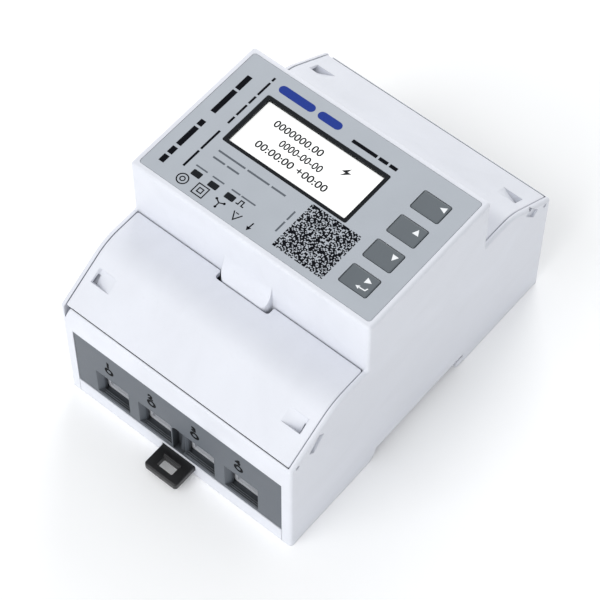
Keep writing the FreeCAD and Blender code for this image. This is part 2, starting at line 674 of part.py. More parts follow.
def busbars():
    """Four tinned copper bars, for three phases and neutral, narrowed where they pass the transformers."""
    bars = []
    start, end = -LOWER_SCREW_Y - 4.2, UPPER_SCREW_Y + 4.2
    wide, thin = BAR_X, BAR_WAIST_X
    waist, taper = 20.0, 2.0
    for x in CLAMP_X:
        right = [(x + wide, start, 0.5), (x + wide, -waist), (x + thin, -waist + taper)]
        right += [(x + thin, waist - taper), (x + wide, waist), (x + wide, end, 0.5)]
        left = [(2 * x - c[0],) + tuple(c[1:]) for c in reversed(right)]
        bars.append(prism("xy", right + left, BAR_Z0, BAR_Z1))
    return bars


def current_transformers():
    """A toroidal current transformer round each phase bar, staggered so that they fit side by side."""
    middle = (BAR_Z0 + BAR_Z1) / 2
    rings = []
    for x, y in zip(CLAMP_X, CT_Y):
        start, end = y - CT_LENGTH / 2, y + CT_LENGTH / 2
        ring = rod_y(x, middle, CT_R, start, end)
        ring = fillet_if(ring, 1.5, lambda centre, size: size.YLength < 1e-3)
        rings.append(ring.cut(rod_y(x, middle, CT_BORE, start - OVER, end + OVER)))
    return rings


def voltage_taps():
    """A pin from each bar up to the main board, where the phase voltages are measured."""
    top = MAIN_BOARD_Z + BOARD_T + 1.2
    return [box(x - 0.6, x + 0.6, TAP_Y - 0.4, TAP_Y + 0.4, BAR_Z1, top) for x in CLAMP_X]


def board(z0):
    """A circuit board with a hole for each screw of the stack."""
    z1 = z0 + BOARD_T
    plate = slab(0, 0, 2 * BOARD_X, 2 * BOARD_Y, z0, z1, 1.0)
    return cut(plate, [rod_z(x, y, STACK_SCREW_R + 0.15, z0 - OVER, z1 + OVER) for x, y in STACK_SPOTS])


def main_board():
    z0, z1 = MAIN_BOARD_Z - OVER, MAIN_BOARD_Z + BOARD_T + OVER
    tap_holes = [box(x - 0.7, x + 0.7, TAP_Y - 0.5, TAP_Y + 0.5, z0, z1) for x in CLAMP_X]
    return cut(board(MAIN_BOARD_Z), tap_holes)


def power_transformer():
    """The supply transformer on the main board: a core with a wound bobbin, as one potted block."""
    z0 = MAIN_BOARD_Z + BOARD_T
    core = slab(CORE_X, CORE_Y, 17, 20, z0, z0 + 13, 1.0)
    bobbin = slab(CORE_X, CORE_Y, 19, 8, z0 + 2, z0 + 11, 0.8)
    return fuse([core, bobbin])


def capacitors():
    z0 = MAIN_BOARD_Z + BOARD_T
    cans = []
    for x, y, radius, height in CAN_SPOTS:
        def rim(centre, size, top=z0 + height):
            return abs(centre.z - top) < 1e-3 and size.ZLength < 1e-3

        cans.append(fillet_if(rod_z(x, y, radius, z0, z0 + height), 0.6, rim))
    return cans


def chips():
    """The measuring, control and bus-driver circuits."""
    z0 = MAIN_BOARD_Z + BOARD_T
    return [slab(x, y, width, length, z0, z0 + CHIP_T, 0.2) for x, y, width, length in CHIP_SPOTS]


def clock_battery():
    """The coin cell that keeps the clock running."""
    z0 = MAIN_BOARD_Z + BOARD_T
    cell = rod_z(CELL_X, CELL_Y, CELL_R, z0, z0 + CELL_T)
    return fillet_if(cell, 0.5, lambda centre, size: size.ZLength < 1e-3)


def board_header():
    """The pin header that joins the two boards."""
    z0, z1 = MAIN_BOARD_Z + BOARD_T, PANEL_BOARD_Z
    body = slab(HEADER_X, HEADER_Y, HEADER_PINS * HEADER_PITCH, 2.6, z0 + 1, z1 - 1, 0.2)
    first = HEADER_X - (HEADER_PINS - 1) / 2 * HEADER_PITCH
    pins = [slab(first + i * HEADER_PITCH, HEADER_Y, 0.64, 0.64, z0, z1, 0.1) for i in range(HEADER_PINS)]
    return fuse([body] + pins)


def stack_spacers():
    """Hexagonal spacers that hold the two boards apart."""
    angles = [math.radians(60 * i) for i in range(6)]
    spacers = []
    for x, y in STACK_SPOTS:
        hexagon = [(x + 2.4 * math.cos(a), y + 2.4 * math.sin(a)) for a in angles]
        post = prism("xy", hexagon, MAIN_BOARD_Z + BOARD_T, PANEL_BOARD_Z)
        spacers.append(post.cut(rod_z(x, y, STACK_SCREW_R + 0.1, 0, DEPTH)))
    return spacers


def screw_from_behind(x, y, head_radius, shank_radius, seat, tip):
    """A pan-head screw driven in towards the panel: its head is below the seat height, its tip above."""
    head_t = 1.6
    head = slotted_head(x, y, head_radius, -head_t, 0, 0.7, 0.9)
    head.rotate(Vector(x, y, 0), Vector(1, 0, 0), 180)
    head.translate(Vector(0, 0, seat - head_t))
    return head.fuse(rod_z(x, y, shank_radius, seat - ROOT, tip)).removeSplitter()


def stack_screws():
    """Long screws through both boards and the spacers, up into the panel's posts."""
    tip = DEPTH - TOP_WALL - 1
    return [screw_from_behind(x, y, 2.3, STACK_SCREW_R, MAIN_BOARD_Z, tip) for x, y in STACK_SPOTS]


def case_screws():
    """Self-tapping screws that hold the back plate to the case."""
    return [screw_from_behind(x, y, 2.6, CASE_SCREW_R, CASE_SCREW_SEAT, 14.0) for x, y in CASE_SCREW_SPOTS]


def panel_label():
    """The printed overlay in the panel's recess."""
    bottom = DEPTH - LABEL_DEPTH
    sheet = slab(0, 0, 2 * (LABEL_X - FIT), 2 * (LABEL_Y - FIT), bottom, DEPTH - 0.05, 0.7)
    return cut(sheet, panel_openings(bottom - OVER))


def display_bezel():
    """The dark frame round the display, with a flange under the panel."""
    rim = 2 * BEZEL_FLANGE
    frame = slab(SCREEN_X, SCREEN_Y, BEZEL_W, BEZEL_H, SHELF_Z - ROOT, DEPTH - 0.1, 0.6)
    flange = slab(SCREEN_X, SCREEN_Y, BEZEL_W + rim, BEZEL_H + rim, SHELF_Z - 2.6, SHELF_Z, 0.8)
    hole = slab(SCREEN_X, SCREEN_Y, SCREEN_W, SCREEN_H, SHELF_Z - 2.6 - OVER, DEPTH + OVER, 0.3)
    return fuse([frame, flange]).cut(hole)


def screen_layer(z0, z1):
    """A sheet of the display, between two heights in the bezel."""
    return slab(SCREEN_X, SCREEN_Y, SCREEN_W - FIT, SCREEN_H - FIT, z0, z1, 0.25)


def key_cap(y):
    """A key: a rounded cap through the panel, a flange that retains it and a stem that presses its switch."""
    def rim(centre, size):
        return abs(centre.z - DEPTH) < 1e-3 and size.ZLength < 1e-3

    foot = DEPTH - 3.0
    cap = fillet_if(slab(KEY_X, y, KEY_W, KEY_H, foot, DEPTH, KEY_CORNER_R), 0.25, rim)
    flange = slab(KEY_X, y, KEY_W + 1.6, KEY_H + 1.6, foot, DEPTH - TOP_WALL - FIT, 0.9)
    stem = rod_z(KEY_X, y, 1.4, PANEL_BOARD_Z + BOARD_T + PLUNGER_Z + 0.05, foot + FIT)
    return fuse([cap, flange, stem])


def switch_bodies():
    """The tactile switches on the panel board, one under each key."""
    z0 = PANEL_BOARD_Z + BOARD_T
    bodies = []
    for y in KEY_Y:
        body = slab(KEY_X, y, 6.0, 6.0, z0, z0 + TACT_Z, 0.4)
        bodies.append(body.cut(rod_z(KEY_X, y, PLUNGER_R + 0.08, z0 + 0.6, z0 + TACT_Z + OVER)))
    return bodies


def switch_plunger(y):
    z0 = PANEL_BOARD_Z + BOARD_T
    return rod_z(KEY_X, y, PLUNGER_R, z0 + 1.1, z0 + PLUNGER_Z)


def lamp_lenses():
    """The dark light guides of the three indicators."""
    z0 = DEPTH - 4.2
    guides = []
    for x, y in LAMP_XY:
        face = slab(x, y, LAMP_W, LAMP_H, z0, DEPTH - 0.1, 0.25)
        foot = slab(x, y, LAMP_W + 1.2, LAMP_H + 1.2, z0, SHELF_Z, 0.3)
        guides.append(fuse([face, foot]))
    return guides


def lamp_leds():
    z0 = PANEL_BOARD_Z + BOARD_T
    return [slab(x, y, 1.6, 0.8, z0, z0 + 0.8, 0.1) for x, y in LAMP_XY]


def terminal_cover():
    """The lower terminal cover: a bent shell with hinge pins, a latch notch and sealing pockets."""
    shell = fuse([cover_shell()] + seal_pads() + knuckles())
    return cut(shell, [latch_notch()] + seal_pockets())


def cover_shell():
    """The bent sheet itself, its corners slightly round in plan and its outer edge softened."""
    outer = shoulder_line(COVER_END_Y, COVER_TOP_Y, 0)
    inner = shoulder_line(COVER_END_Y, COVER_TOP_Y, COVER_T)
    middle, length = (COVER_TOP_Y - COVER_END_Y) / 2, COVER_END_Y + COVER_TOP_Y
    plan = slab(0, middle, 2 * COVER_X, length, FOLD_Z - 2 * COVER_T, SHOULDER_Z + OVER, 0.6)
    shell = prism("yz", outer + inner[::-1], -COVER_X, COVER_X).common(plan)

    def outer_rim(centre, size):
        on_bend = -38 < centre.y < -30
        skin = SHOULDER_Z if centre.y > -30 else surface_z(centre.y) - (1.0 if on_bend else 0.0)
        crease = size.XLength > 60 and -48 < centre.y < -26
        return centre.z > skin - COVER_T / 2 and not crease and size.ZLength < 8

    return fillet_if(shell, 0.3, outer_rim)


def latch_notch():
    """The notch in the cover's top edge that clears the boss, rounded inside and out."""
    a, back = NOTCH_X, COVER_TOP_Y + OVER
    half = [(-a - 2, back), (-a - 2, COVER_TOP_Y), (-a, COVER_TOP_Y, 0.5), (-a, -NOTCH_Y, 0.8)]
    other = [(-c[0],) + tuple(c[1:]) for c in reversed(half)]
    return prism("xy", half + other, SHOULDER_Z - 2 * COVER_T, SHOULDER_Z + OVER)


def knuckles():
    """The hinge pins and the round ends of the cover that carry them."""
    def one():
        knuckle = rod_x(-HINGE_Y, HINGE_Z, KNUCKLE_R, COVER_X - 4, COVER_X)
        return knuckle.fuse(rod_x(-HINGE_Y, HINGE_Z, PIN_R, COVER_X - 1, HALF_W - 0.3))

    return both_sides(one)


def seal_pads():
    """The thicker corners under the sealing pockets."""
    return both_sides(lambda: on_slope(box(SEAL_X0 - 1, PAD_X, -3.1, 2.8, -PAD_T, -COVER_T / 2)))


def seal_pockets():
    """A scoop in each lower corner, deepest at its bevelled outer side, and the wire hole in that side."""
    def section(x, low, high):
        a, proud = POCKET_HALF, 0.4
        return outline("yz", [(a, proud), (-a, proud), (-a, -low), (a, -high)], x)

    def one():
        foot = SEAL_X1 - POCKET_BEVEL
        sections = [section(SEAL_X0, 0, 0), section(foot, POCKET_LOW, POCKET_HIGH), section(SEAL_X1, 0, 0)]
        scoop = Part.makeLoft(sections, True, True)
        wire_hole = box(foot - ROOT, COVER_X + OVER, -1.8, 0.6, -2.2, -0.6)
        return on_slope(fuse([scoop, wire_hole]))

    return both_sides(one)


def write(name, shape):
    """Writes one node's solids, lowered so that the origin is the centre of the rail seat."""
    solids = []
    for piece in shape if isinstance(shape, list) else [shape]:
        solids += piece.Solids
    bad = [s for s in solids if not s.isValid() or s.Volume < 1e-3]
    if not solids or bad:
        raise ValueError(f"{name}: {len(solids)} solids, {len(bad)} of them bad")
    if not isinstance(shape, list) and len(solids) != 1:
        raise ValueError(f"{name} fell into {len(solids)} solids")
    whole = solids[0] if len(solids) == 1 else Part.makeCompound(solids)
    whole.translate(Vector(0, 0, -SEAT_DEPTH))
    whole.exportStep(f"parts/{name}.step")


def main():
    os.makedirs("parts", exist_ok=True)
    write("main_case", main_case())
    write("back_plate", back_plate())
    write("case_screws", case_screws())
    write("din_clip", din_clip())
    write("clip_spring", clip_spring())
    write("lower_cover", terminal_cover())
    write("upper_cover", flip_y(terminal_cover()))
    write("lower_terminal_block", lower_terminal_block())
    write("upper_terminal_block", upper_terminal_block())
    write("aux_terminal_block", aux_terminal_block())
    write("aux_screws", aux_screws())
    write("aux_clamps", aux_clamps())
    for i, x in enumerate(CLAMP_X, start=1):
        write(f"lower_screw_{i}", clamp_screw(x, -LOWER_SCREW_Y))
        write(f"lower_cage_{i}", clamp_cage(x, -LOWER_SCREW_Y))
        write(f"upper_screw_{i}", clamp_screw(x, UPPER_SCREW_Y))
        write(f"upper_cage_{i}", clamp_cage(x, UPPER_SCREW_Y))
    write("busbars", busbars())
    write("current_transformers", current_transformers())
    write("voltage_taps", voltage_taps())
    write("main_board", main_board())
    write("power_transformer", power_transformer())
    write("capacitors", capacitors())
    write("chips", chips())
    write("clock_battery", clock_battery())
    write("board_header", board_header())
    write("stack_spacers", stack_spacers())
    write("stack_screws", stack_screws())
    write("panel_board", board(PANEL_BOARD_Z))
    write("panel_label", panel_label())
    write("display_bezel", display_bezel())
    write("display_window", screen_layer(DEPTH - 0.9, DEPTH - 0.3))
    write("display_cell", screen_layer(DEPTH - 2.8, DEPTH - 0.95))
    write("display_backlight", screen_layer(DEPTH - 4.6, DEPTH - 2.85))
    write("switch_bodies", switch_bodies())
    for i, y in enumerate(KEY_Y, start=1):
        write(f"key_{i}", key_cap(y))
        write(f"switch_plunger_{i}", switch_plunger(y))
    write("lamp_lenses", lamp_lenses())
    write("lamp_leds", lamp_leds())


main()
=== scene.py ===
import json
import math

import bmesh
import bpy
from mathutils import Matrix, Vector


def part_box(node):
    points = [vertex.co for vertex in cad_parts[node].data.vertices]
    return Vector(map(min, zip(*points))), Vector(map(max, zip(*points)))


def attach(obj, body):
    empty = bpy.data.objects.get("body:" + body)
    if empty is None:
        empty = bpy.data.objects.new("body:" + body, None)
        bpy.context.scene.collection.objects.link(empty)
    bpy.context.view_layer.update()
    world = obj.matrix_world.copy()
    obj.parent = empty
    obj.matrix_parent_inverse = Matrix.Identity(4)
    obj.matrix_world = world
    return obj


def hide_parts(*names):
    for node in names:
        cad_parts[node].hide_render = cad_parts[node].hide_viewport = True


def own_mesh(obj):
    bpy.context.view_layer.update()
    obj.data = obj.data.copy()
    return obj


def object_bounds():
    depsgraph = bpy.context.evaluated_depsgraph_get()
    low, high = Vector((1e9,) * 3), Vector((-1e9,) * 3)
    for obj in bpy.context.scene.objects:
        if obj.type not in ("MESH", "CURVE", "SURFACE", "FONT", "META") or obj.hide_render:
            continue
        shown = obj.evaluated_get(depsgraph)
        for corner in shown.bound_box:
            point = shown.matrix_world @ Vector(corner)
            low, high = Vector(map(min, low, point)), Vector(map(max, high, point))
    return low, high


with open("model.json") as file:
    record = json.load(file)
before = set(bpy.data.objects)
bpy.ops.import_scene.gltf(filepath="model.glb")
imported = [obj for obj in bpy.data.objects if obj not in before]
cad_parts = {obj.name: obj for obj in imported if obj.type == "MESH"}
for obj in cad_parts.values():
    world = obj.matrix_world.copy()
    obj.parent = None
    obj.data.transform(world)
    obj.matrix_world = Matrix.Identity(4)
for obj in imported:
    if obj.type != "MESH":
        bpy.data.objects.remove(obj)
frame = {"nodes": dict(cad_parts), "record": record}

# Looks of a DIN-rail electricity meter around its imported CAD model. Metres, in the model's own frame:
# +Z out of the front panel, +Y to the panel's top, +X to its right.

CAD_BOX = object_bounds()
MM = 0.001
X, Y, Z = Vector((1, 0, 0)), Vector((0, 1, 0)), Vector((0, 0, 1))

# camera and stage
CAMERA_AZIMUTH = 39.4
CAMERA_ELEVATION = 57.74
CAMERA_ROLL = 0.36
CAMERA_DISTANCE = 592.5 * MM
CAMERA_TARGET = Vector((-5.9, 3.8, 0.2)) * MM
CAMERA_LENS = 138.6
FLOOR_GAP = 0.05 * MM
FLOOR_HALF = 4.0
LIT_HEIGHT = 20 * MM  # the lights are turned to this spot over the origin

SKY = (0.98, 0.99, 1.0, 1.0)
SKY_STRENGTH = 0.66

# materials
PAINTED_GLOW = (1.0, 0.99, 0.97, 1.0)  # colour of the painted glow that brightens the display face, which has no lamp
CLEAR = (0.985, 0.99, 0.99, 1.0)  # what the acrylic window lets through
RAYS = 6  # how finely edges and narrow gaps are felt out
EDGE_STARTS = 0.995  # cosine between the rounded and the true normal where an edge starts to show
EDGE_FULL = 0.86  # the same where it shows in full
BAND_REPEAT = 0.314  # metres between the bands of a wave texture at scale 1

# printed marks
INK = 0.02 * MM  # how far a mark stands proud of its surface
SUNK = 0.01 * MM  # how far it reaches into the surface
LINE = 0.32  # usual line width, in millimetres
FINE_LINE = 0.3
SHARPEST = 0.35  # cosine of half the sharpest turn whose corner is drawn out to a full mitre
CORNER_STEPS = 4  # straight pieces in a bar's round corner
SAME_POINT = 1e-7  # metres between two corners that are joined into one
ARROWHEAD = ((1.0, 0.0), (-0.65, 0.85), (-0.65, -0.85))

# spring of the rail clip
WIRE = 0.25 * MM  # radius of its wire
TURNS = 9
END_TURNS = 0.75  # the part of a turn at each end that lies close
END_PITCH = 0.5 * MM


def put(name, data):
    """Adds an object with this data to the scene."""
    thing = bpy.data.objects.new(name, data)
    bpy.context.scene.collection.objects.link(thing)
    return thing


# ---------------------------------------------------------------- shader nodes


def start_material(name):
    material = bpy.data.materials.new(name)
    material.use_nodes = True
    material.node_tree.nodes.clear()
    return material


def add(tree, kind, settings=None, inputs=None):
    """Adds a node. Each input is a value or another node's output, keyed by the socket's name or number."""
    node = tree.nodes.new(kind)
    for key, value in (settings or {}).items():
        setattr(node, key, value)
    for key, value in (inputs or {}).items():
        if isinstance(value, bpy.types.NodeSocket):
            tree.links.new(value, node.inputs[key])
        else:
            node.inputs[key].default_value = value
    return node


def place(tree, stretch=(1, 1, 1)):
    """Object coordinates in metres, stretched along the axes."""
    coords = add(tree, "ShaderNodeTexCoord").outputs["Object"]
    return add(tree, "ShaderNodeMapping", inputs={"Vector": coords, "Scale": stretch}).outputs["Vector"]


def noise(tree, coords, size, detail=2.0, roughness=0.5, distortion=0.0):
    """Noise between 0 and 1 whose features are about this size in metres."""
    inputs = {"Vector": coords, "Scale": 1 / size, "Detail": detail}
    inputs |= {"Roughness": roughness, "Distortion": distortion}
    return add(tree, "ShaderNodeTexNoise", inputs=inputs).outputs["Fac"]


def remap(tree, value, low, high, to_low=0.0, to_high=1.0):
    inputs = {"Value": value, "From Min": low, "From Max": high, "To Min": to_low, "To Max": to_high}
    return add(tree, "ShaderNodeMapRange", {"clamp": True}, inputs).outputs["Result"]


def maths(tree, operation, a, b):
    return add(tree, "ShaderNodeMath", {"operation": operation}, {0: a, 1: b}).outputs["Value"]


def blend_colours(tree, factor, a, b):
    """Mixes two colours, each a triple or a socket."""
    node = add(tree, "ShaderNodeMix", {"data_type": "RGBA"}, {"Factor": factor})
    # the Mix node has sockets of the same names for every data type, so the colour ones go by number
    for socket, colour in ((node.inputs[6], a), (node.inputs[7], b)):
        if isinstance(colour, bpy.types.NodeSocket):
            tree.links.new(colour, socket)
        else:
            socket.default_value = (*colour, 1.0)
    return node.outputs[2]


def scaled(colour, factor):
    return tuple(min(1.0, c * factor) for c in colour)


def soft_edges(tree, radius):
    """A normal that rounds edges off by a radius, and a mask that is 1 on those edges."""
    bevel = add(tree, "ShaderNodeBevel", {"samples": RAYS}, {"Radius": radius}).outputs["Normal"]
    normal = add(tree, "ShaderNodeNewGeometry").outputs["Normal"]
    dot = add(tree, "ShaderNodeVectorMath", {"operation": "DOT_PRODUCT"}, {0: bevel, 1: normal})
    return bevel, remap(tree, dot.outputs["Value"], EDGE_STARTS, EDGE_FULL)


def crevices(tree, distance):
    """A mask that is 1 in the open and falls towards 0 in narrow gaps."""
    settings = {"samples": RAYS, "only_local": False}
    return add(tree, "ShaderNodeAmbientOcclusion", settings, {"Distance": distance}).outputs["AO"]


def bumped(tree, height, strength, distance, normal=None):
    """A normal bent by a height, on top of another normal if there is one."""
    inputs = {"Strength": strength, "Distance": distance, "Height": height}
    if normal is not None:
        inputs["Normal"] = normal
    return add(tree, "ShaderNodeBump", inputs=inputs).outputs["Normal"]


def close_material(material, **inputs):
    """Adds the Principled shader and the output to a material."""
    tree = material.node_tree
    named = {key.replace("_", " "): value for key, value in inputs.items()}
    colour = named.pop("Base Color")
    shader = add(tree, "ShaderNodeBsdfPrincipled", inputs=named)
    if isinstance(colour, bpy.types.NodeSocket):
        tree.links.new(colour, shader.inputs["Base Color"])
    else:
        shader.inputs["Base Color"].default_value = (*colour, 1.0)
    add(tree, "ShaderNodeOutputMaterial", inputs={"Surface": shader.outputs["BSDF"]})
    return material


# ---------------------------------------------------------------- materials


def moulded_colour(tree, colour, flow, specks, on_edge, edge_wear_and_shade, crevice_shade, hollow_shade):
    """Mottled plastic, then its edges, lighter as rubbed wear and darker as painted shade, and painted
    shade in narrow gaps and wide hollows.
    """
    tone = blend_colours(tree, remap(tree, flow, 0.3, 0.7), scaled(colour, 0.965), scaled(colour, 1.03))
    tone = blend_colours(tree, remap(tree, specks, 0.62, 0.8, 0.0, 0.25), tone, scaled(colour, 0.93))
    # edges: lighter as rubbed wear where the factor is above 1, darker as painted shade where it is below 1
    wear_and_shade_on_edge = maths(tree, "MULTIPLY", on_edge, remap(tree, specks, 0.35, 0.65, 0.25, 1.0))
    tone = blend_colours(tree, wear_and_shade_on_edge, tone, scaled(colour, edge_wear_and_shade))
    # painted shade: the colour darkens in narrow gaps, where real shade would fall
    narrow = remap(tree, crevices(tree, 1.2 * MM), 0.1, 0.8)
    tone = blend_colours(tree, narrow, scaled(colour, crevice_shade), tone)
    # painted shade: the colour darkens in wide hollows, where real shade would fall
    if hollow_shade < 1.0:
        wide = remap(tree, crevices(tree, 9 * MM), 0.2, 0.85)
        tone = blend_colours(tree, wide, scaled(colour, hollow_shade), tone)
    return tone


def moulded(
    name,
    colour,
    rough=0.45,
    grain=0.3 * MM,
    edge=0.3 * MM,
    edge_wear_and_shade=1.06,
    crevice_shade=0.8,
    hollow_shade=1.0,
    coat=0.0,
    shine=0.5,
):
    """Injection-moulded plastic: spark-eroded grain, flow mottling, polished edges, and painted shade in
    narrow gaps and wide hollows.

    The factors for edges, gaps and hollows scale the colour there: on edges they give rubbed wear above 1
    and painted shade below 1, and in narrow gaps and wide hollows they give painted shade. shine is how
    much the bare plastic mirrors, and coat adds a thin gloss over it.
    """
    material = start_material(name)
    tree = material.node_tree
    coords = place(tree)
    fine = noise(tree, coords, grain, detail=3.0, roughness=0.65)
    flow = noise(tree, place(tree, (1, 0.45, 1)), 14 * MM, detail=4.0, distortion=0.8)
    specks = noise(tree, coords, 1.1 * MM, detail=1.0)
    rounded, on_edge = soft_edges(tree, edge)
    tone = moulded_colour(tree, colour, flow, specks, on_edge, edge_wear_and_shade, crevice_shade, hollow_shade)
    patchy = remap(tree, flow, 0.25, 0.75, rough - 0.05, rough + 0.06)
    gloss = maths(tree, "ADD", patchy, remap(tree, fine, 0.2, 0.8, -0.04, 0.04))
    gloss = maths(tree, "SUBTRACT", gloss, maths(tree, "MULTIPLY", on_edge, 0.1))
    height = maths(tree, "ADD", fine, maths(tree, "MULTIPLY", flow, 1.5))
    normal = bumped(tree, height, 0.6, 0.01 * MM, rounded)
    return close_material(
        material,
        Base_Color=tone,
        Roughness=gloss,
        Normal=normal,
        Coat_Weight=coat,
        Coat_Roughness=0.2,
        Specular_IOR_Level=shine,
    )


def metal(name, colour, rough=0.3, along=(1, 12, 1), stain=0.75, edge=0.15 * MM, sheen=1.0):
    """Drawn or plated metal: fine lines along one axis, cloudy plating, brighter edges.

    stain scales the colour in the clouds, and sheen is how metallic it looks.
    """
    material = start_material(name)
    tree = material.node_tree
    lines = noise(tree, place(tree, along), 0.9 * MM, detail=3.0, roughness=0.7)
    clouds = noise(tree, place(tree), 3.5 * MM, detail=4.0, distortion=0.4)
    rounded, on_edge = soft_edges(tree, edge)
    tone = blend_colours(tree, remap(tree, clouds, 0.35, 0.75), colour, scaled(colour, stain))
    tone = blend_colours(tree, maths(tree, "MULTIPLY", on_edge, 0.6), tone, scaled(colour, 1.2))
    cloudy = remap(tree, clouds, 0.3, 0.7, rough - 0.06, rough + 0.1)
    gloss = maths(tree, "ADD", cloudy, remap(tree, lines, 0.3, 0.7, -0.06, 0.06))
    normal = bumped(tree, lines, 0.5, 0.01 * MM, rounded)
    return close_material(material, Base_Color=tone, Metallic=sheen, Roughness=gloss, Normal=normal)


def film(name, colour):
    """Polyester overlay with a fine velvet emboss, its cut edge a little lighter."""
    material = start_material(name)
    tree = material.node_tree
    coords = place(tree)
    velvet = {"Vector": coords, "Scale": 1 / (0.16 * MM)}
    cells = add(tree, "ShaderNodeTexVoronoi", inputs=velvet).outputs["Distance"]
    haze = noise(tree, coords, 9 * MM, detail=3.0)
    toner = noise(tree, coords, 0.12 * MM, detail=2.0)
    rounded, on_edge = soft_edges(tree, 0.12 * MM)
    tone = blend_colours(tree, remap(tree, haze, 0.3, 0.7), scaled(colour, 0.97), scaled(colour, 1.03))
    tone = blend_colours(tree, remap(tree, toner, 0.3, 0.7, 0.0, 0.5), tone, scaled(colour, 0.95))
    tone = blend_colours(tree, on_edge, tone, scaled(colour, 1.2))
    cloudy = remap(tree, haze, 0.3, 0.7, 0.38, 0.46)
    gloss = maths(tree, "ADD", cloudy, remap(tree, cells, 0.0, 0.6, -0.04, 0.06))
    normal = bumped(tree, cells, 0.5, 0.006 * MM, rounded)
    return close_material(material, Base_Color=tone, Roughness=gloss, Normal=normal)


def ink(name, colour, rough=0.5, spread=0.12, shine=0.2):
    """Screen-printed ink: slightly uneven cover and gloss."""
    material = start_material(name)
    tree = material.node_tree
    cover = noise(tree, place(tree), 0.35 * MM, detail=3.0, roughness=0.7)
    thin, thick = scaled(colour, 1 - spread), scaled(colour, 1 + spread)
    tone = blend_colours(tree, remap(tree, cover, 0.3, 0.7), thin, thick)
    gloss = remap(tree, cover, 0.3, 0.7, rough - 0.06, rough + 0.08)
    normal = bumped(tree, cover, 0.4, 0.004 * MM)
    return close_material(
        material, Base_Color=tone, Roughness=gloss, Normal=normal, Specular_IOR_Level=shine
    )


def clear_window(name):
    """Clear acrylic: it lets the display through and mirrors a little, more at grazing angles."""
    material = start_material(name)
    tree = material.node_tree
    ripple = noise(tree, place(tree), 6 * MM, detail=2.0)
    normal = bumped(tree, ripple, 0.3, 0.01 * MM)
    gloss = remap(tree, ripple, 0.3, 0.7, 0.02, 0.07)
    through = add(tree, "ShaderNodeBsdfTransparent", inputs={"Color": CLEAR})
    mirror = add(tree, "ShaderNodeBsdfGlossy", inputs={"Roughness": gloss, "Normal": normal})
    grazing = add(tree, "ShaderNodeFresnel", inputs={"IOR": 1.45, "Normal": normal}).outputs["Fac"]
    inside = add(tree, "ShaderNodeNewGeometry").outputs["Backfacing"]
    mirrored = maths(tree, "MULTIPLY", grazing, maths(tree, "SUBTRACT", 1.0, inside))
    layers = {0: mirrored, 1: through.outputs["BSDF"], 2: mirror.outputs["BSDF"]}
    surface = add(tree, "ShaderNodeMixShader", inputs=layers)
    add(tree, "ShaderNodeOutputMaterial", inputs={"Surface": surface.outputs["Shader"]})
    return material


def display_face(name, colour, painted_glow):
    """The reflective face of a liquid crystal cell: a faint dot grid over an even white with a painted
    glow, though no lamp lights it.
    """
    material = start_material(name)
    tree = material.node_tree
    coords = place(tree)
    dot_pitch = 0.3 * MM
    waves = []
    for axis in ("X", "Y"):
        settings = {"wave_type": "BANDS", "bands_direction": axis}
        inputs = {"Vector": coords, "Scale": BAND_REPEAT / dot_pitch}
        wave = add(tree, "ShaderNodeTexWave", settings, inputs)
        waves.append(wave.outputs["Fac"])
    grid = remap(tree, maths(tree, "MAXIMUM", *waves), 0.9, 1.0, 0.0, 0.35)
    haze = noise(tree, coords, 12 * MM, detail=2.0)
    tone = blend_colours(tree, remap(tree, haze, 0.3, 0.7), scaled(colour, 0.98), scaled(colour, 1.02))
    tone = blend_colours(tree, grid, tone, scaled(colour, 0.95))
    gloss = remap(tree, haze, 0.3, 0.7, 0.35, 0.45)
    normal = bumped(tree, grid, 0.2, 0.003 * MM)
    # painted light: the emission makes the face glow, though no lamp lights it
    return close_material(
        material,
        Base_Color=tone,
        Roughness=gloss,
        Normal=normal,
        Emission_Color=PAINTED_GLOW,
        Emission_Strength=painted_glow,
    )


def circuit_board(name, mask):
    """Solder mask over copper: lighter tracks, tinned vias and the weave of the laminate."""
    material = start_material(name)
    tree = material.node_tree
    coords = place(tree)
    tracks_per_metre, vias_per_metre = 260.0, 420.0
    tin, laminate = (0.72, 0.70, 0.62), (0.55, 0.50, 0.28)
    tracks = {"Vector": coords, "Scale": tracks_per_metre}
    gaps = add(tree, "ShaderNodeTexVoronoi", {"feature": "DISTANCE_TO_EDGE"}, tracks).outputs["Distance"]
    copper = remap(tree, gaps, 0.05, 0.07)
    holes = {"Vector": coords, "Scale": vias_per_metre}
    vias = add(tree, "ShaderNodeTexVoronoi", inputs=holes).outputs["Distance"]
    pad = remap(tree, vias, 0.1, 0.14, 1.0, 0.0)
    weave = noise(tree, place(tree, (1, 6, 1)), 0.8 * MM, detail=2.0)
    rounded, on_edge = soft_edges(tree, 0.15 * MM)
    tone = blend_colours(tree, copper, scaled(mask, 1.9), mask)
    tone = blend_colours(tree, remap(tree, weave, 0.3, 0.7, 0.0, 0.4), tone, scaled(mask, 0.7))
    tone = blend_colours(tree, pad, tone, tin)
    tone = blend_colours(tree, on_edge, tone, laminate)
    gloss = remap(tree, weave, 0.3, 0.7, 0.22, 0.38)
    height = maths(tree, "ADD", copper, maths(tree, "MULTIPLY", weave, 0.3))
    normal = bumped(tree, height, 0.6, 0.02 * MM, rounded)
    tinned = maths(tree, "MULTIPLY", pad, 0.9)
    return close_material(material, Base_Color=tone, Roughness=gloss, Metallic=tinned, Normal=normal)


def floor_material():
    material = start_material("studio_floor")
    tree = material.node_tree
    coords = place(tree)
    haze = noise(tree, coords, 0.2, detail=2.0)
    tone = blend_colours(tree, haze, (0.945, 0.95, 0.955), (0.96, 0.965, 0.97))
    return close_material(
        material,
        Base_Color=tone,
        Roughness=0.85,
        Emission_Color=(1.0, 1.0, 1.0, 1.0),
        Emission_Strength=0.06,
    )


WHITE_PLASTIC = (0.71, 0.728, 0.785)
KEY_PLASTIC = (0.104, 0.122, 0.138)

